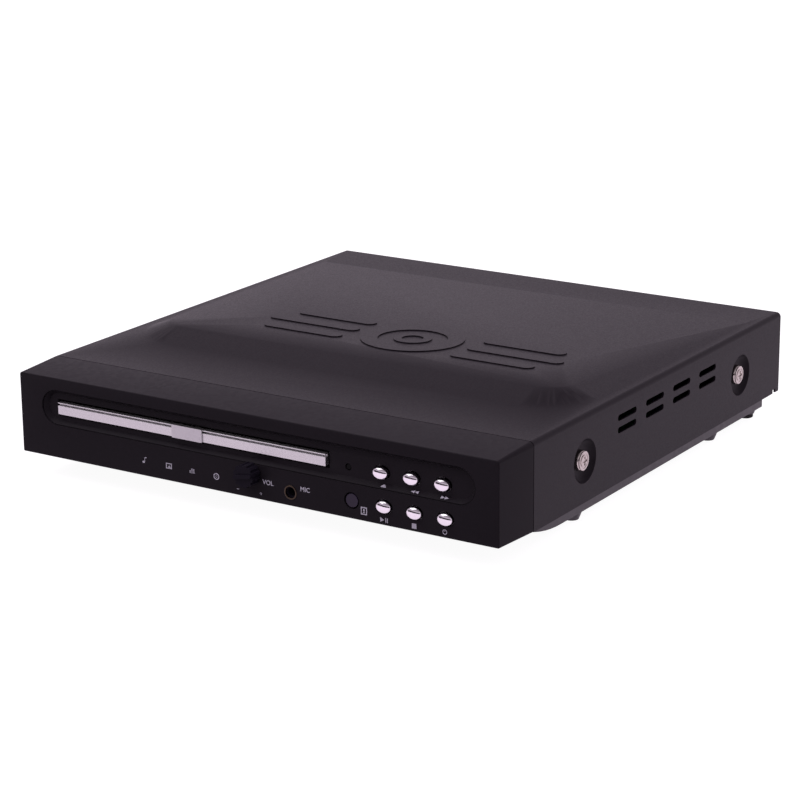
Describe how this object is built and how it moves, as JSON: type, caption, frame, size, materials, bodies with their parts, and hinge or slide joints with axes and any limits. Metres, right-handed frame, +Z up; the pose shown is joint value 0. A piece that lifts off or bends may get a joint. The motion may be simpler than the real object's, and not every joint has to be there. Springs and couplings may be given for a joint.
{
  "type": "disc player",
  "caption": "Slim table-top disc player with a front-loading tray in a bevelled groove, oval keys, a volume knob and a raised plateau on its sheet cover.",
  "frame": {"origin": "centre of the bounding box's footprint, on the plane the feet stand on", "axes": "+X to the right seen from the front, +Y from the front panel to the rear, +Z up"},
  "size_m": [0.225, 0.2486, 0.049],
  "materials": {
    "cover_metal": "pearl violet-grey lacquer",
    "pan_metal": "zinc-coated sheet",
    "panel_plastic": "moulded, painted satin",
    "door_plastic": "metallic silver",
    "badge_plastic": "satin silver",
    "button_plastic": "plated plastic",
    "knob_plastic": "moulded",
    "window_plastic": "dark violet window",
    "lens_plastic": "clear light guide",
    "ring_metal": "plated",
    "jack_plastic": "moulded",
    "screw_steel": "bright plated",
    "steel": "plain",
    "rubber": "soft black",
    "tray_plastic": "moulded",
    "gear_plastic": "acetal",
    "loader_plastic": "moulded",
    "board_laminate": "solder mask",
    "part_plastic": "moulded",
    "capacitor_sleeve": "shrink sleeve",
    "heat_aluminium": "extruded",
    "sleeve_metal": "plated",
    "ribbon_plastic": "flat cable",
    "glass_lens": "clear",
    "transformer_core": "ferrite"
  },
  "bodies": {
    "case": {"front_panel": "panel_plastic", "top_cover": "cover_metal", "base_pan": "pan_metal", "rear_feet": "rubber", "rear_panel": "pan_metal", "cover_screws": "screw_steel", "rear_screws": "screw_steel", "inner_screws": "steel", "ir_window": "window_plastic", "led_lens": "lens_plastic", "front_board": "board_laminate", "tact_switches": "part_plastic", "ir_receiver": "part_plastic", "volume_pot": "part_plastic", "mic_jack": "jack_plastic", "jack_ring": "ring_metal", "loader_frame": "loader_plastic", "loading_motor": "steel", "drive_belt": "rubber", "clamp_bridge": "pan_metal", "main_board": "board_laminate", "power_board": "board_laminate", "board_chips": "part_plastic", "board_capacitors": "capacitor_sleeve", "av_sockets": "jack_plastic", "socket_sleeves": "sleeve_metal", "ac_inlet": "jack_plastic", "transformer": "transformer_core", "power_capacitors": "capacitor_sleeve", "heat_sink": "heat_aluminium", "front_ribbon": "ribbon_plastic", "power_ribbon": "ribbon_plastic"},
    "tray": {"disc_tray": "tray_plastic", "tray_door": "door_plastic", "door_badge": "badge_plastic"},
    "deck": {"lift_frame": "loader_plastic", "deck_dampers": "rubber", "deck_plate": "pan_metal", "spindle_motor": "steel", "guide_rods": "steel", "sled_motor": "steel"},
    "sled": {"pickup_sled": "part_plastic", "pickup_lens": "glass_lens"},
    "sled_gear": {"sled_gear": "gear_plastic"},
    "sled_pinion": {"sled_pinion": "gear_plastic"},
    "turntable": {"turntable": "part_plastic"},
    "cam": {"cam_slider": "gear_plastic"},
    "clamper": {"clamper": "gear_plastic"},
    "drive_gear": {"drive_gear": "gear_plastic"},
    "pulley_gear": {"pulley_gear": "gear_plastic"},
    "motor_pulley": {"motor_pulley": "gear_plastic"},
    "knob": {"volume_knob": "knob_plastic", "volume_shaft": "heat_aluminium"},
    "eject_button": {"eject_button": "button_plastic"},
    "previous_button": {"previous_button": "button_plastic"},
    "next_button": {"next_button": "button_plastic"},
    "play_button": {"play_button": "button_plastic"},
    "stop_button": {"stop_button": "button_plastic"},
    "power_button": {"power_button": "button_plastic"}
  },
  "joints": [
    {"name": "tray_slide", "type": "slide", "parent": "case", "child": "tray", "axis": [0, -1, 0], "range_m": [0, 0.128]},
    {"name": "drive_gear_spin", "type": "hinge", "parent": "case", "child": "drive_gear", "pos_m": [-0.082, -0.07685, 0.023], "axis": [0, 0, 1], "range_deg": [-1048.7, 0]},
    {"name": "pulley_gear_spin", "type": "hinge", "parent": "case", "child": "pulley_gear", "pos_m": [-0.07, -0.07685, 0.02], "axis": [0, 0, 1], "range_deg": [0, 2445.6]},
    {"name": "motor_pulley_spin", "type": "hinge", "parent": "case", "child": "motor_pulley", "pos_m": [-0.045, -0.07785, 0.02], "axis": [0, 0, 1], "range_deg": [0, 8964.6]},
    {"name": "deck_tilt", "type": "hinge", "parent": "case", "child": "deck", "pos_m": [-0.02865, 0.04215, 0.022], "axis": [1, 0, 0], "range_deg": [0, 3.3]},
    {"name": "cam_slide", "type": "slide", "parent": "case", "child": "cam", "axis": [-1, 0, 0], "range_m": [0, 0.0201]},
    {"name": "turntable_spin", "type": "hinge", "parent": "deck", "child": "turntable", "pos_m": [-0.02865, -0.04935, 0.03], "axis": [0, 0, 1], "continuous": true},
    {"name": "sled_slide", "type": "slide", "parent": "deck", "child": "sled", "axis": [0, 1, 0], "range_m": [0, 0.035]},
    {"name": "sled_gear_spin", "type": "hinge", "parent": "deck", "child": "sled_gear", "pos_m": [0.00335, 0.00015, 0.0247], "axis": [0, 0, 1], "range_deg": [-402.1, 0]},
    {"name": "sled_pinion_spin", "type": "hinge", "parent": "deck", "child": "sled_pinion", "pos_m": [0.00285, 0.00813, 0.0247], "axis": [0, 0, 1], "range_deg": [0, 669.5]},
    {"name": "clamper_spin", "type": "hinge", "parent": "case", "child": "clamper", "pos_m": [-0.02865, -0.04935, 0.0366], "axis": [0, 0, 1], "continuous": true},
    {"name": "volume_turn", "type": "hinge", "parent": "case", "child": "knob", "pos_m": [0.0022, -0.11785, 0.0202], "axis": [0, -1, 0], "range_deg": [-150, 150]},
    {"name": "eject_press", "type": "slide", "parent": "case", "child": "eject_button", "axis": [0, 1, 0], "range_m": [0, 0.0005], "stiffness_N_per_m": 300, "springref_m": -0.002},
    {"name": "previous_press", "type": "slide", "parent": "case", "child": "previous_button", "axis": [0, 1, 0], "range_m": [0, 0.0005], "stiffness_N_per_m": 300, "springref_m": -0.002},
    {"name": "next_press", "type": "slide", "parent": "case", "child": "next_button", "axis": [0, 1, 0], "range_m": [0, 0.0005], "stiffness_N_per_m": 300, "springref_m": -0.002},
    {"name": "play_press", "type": "slide", "parent": "case", "child": "play_button", "axis": [0, 1, 0], "range_m": [0, 0.0005], "stiffness_N_per_m": 300, "springref_m": -0.002},
    {"name": "stop_press", "type": "slide", "parent": "case", "child": "stop_button", "axis": [0, 1, 0], "range_m": [0, 0.0005], "stiffness_N_per_m": 300, "springref_m": -0.002},
    {"name": "power_press", "type": "slide", "parent": "case", "child": "power_button", "axis": [0, 1, 0], "range_m": [0, 0.0005], "stiffness_N_per_m": 300, "springref_m": -0.002}
  ],
  "couplings": [
    {"joint": "drive_gear_spin", "follows": "tray_slide", "rad_per_m": -142.86},
    {"joint": "pulley_gear_spin", "follows": "tray_slide", "rad_per_m": 333.33},
    {"joint": "motor_pulley_spin", "follows": "tray_slide", "rad_per_m": 1222.2},
    {"joint": "cam_slide", "follows": "deck_tilt", "m_per_rad": 0.34725},
    {"joint": "sled_gear_spin", "follows": "sled_slide", "rad_per_m": -200},
    {"joint": "sled_pinion_spin", "follows": "sled_slide", "rad_per_m": 333.33}
  ]
}
